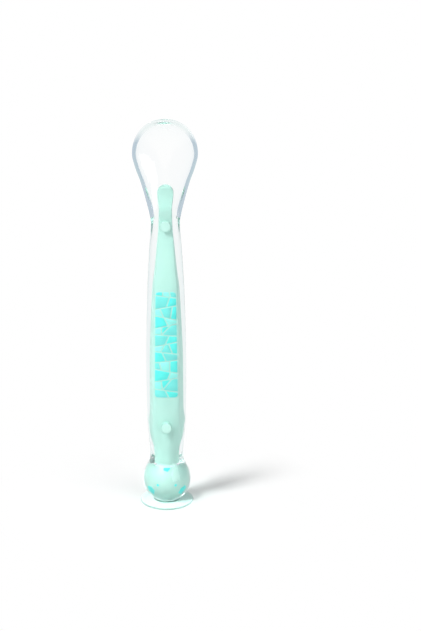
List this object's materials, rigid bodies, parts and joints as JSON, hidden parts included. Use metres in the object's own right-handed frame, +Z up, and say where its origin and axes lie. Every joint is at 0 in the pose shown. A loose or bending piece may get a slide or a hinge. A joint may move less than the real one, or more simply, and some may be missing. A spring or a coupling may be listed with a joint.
{
  "type": "baby spoon",
  "caption": "Clear silicone baby spoon: a soft scooped bowl and sleeve moulded over a rigid printed core, with a ball end on a shallow suction foot that it stands on.",
  "frame": {"origin": "centre of the suction foot's resting ring, on the surface that the spoon stands on", "axes": "+Z up along the handle to the tip of the bowl; -Y is the side that the bowl opens to and the print faces; +X to the right seen from that side"},
  "size_m": [0.025, 0.0208, 0.158],
  "materials": {
    "clear_silicone": "clear, glossy, very slightly milky silicone",
    "foot_silicone": "clear, glossy silicone",
    "core_plastic": "satin mint-green polypropylene",
    "bright_ink": "opaque printed ink, bright turquoise",
    "medium_ink": "opaque printed ink, medium turquoise",
    "pale_ink": "opaque printed ink, pale turquoise",
    "chip_ink": "opaque printed ink, bright turquoise"
  },
  "bodies": {
    "root": {"silicone_jacket": "clear_silicone", "suction_foot": "foot_silicone", "core_insert": "core_plastic", "print_bright": "bright_ink", "print_medium": "medium_ink", "print_pale": "pale_ink", "ball_chips": "chip_ink"}
  },
  "joints": []
}
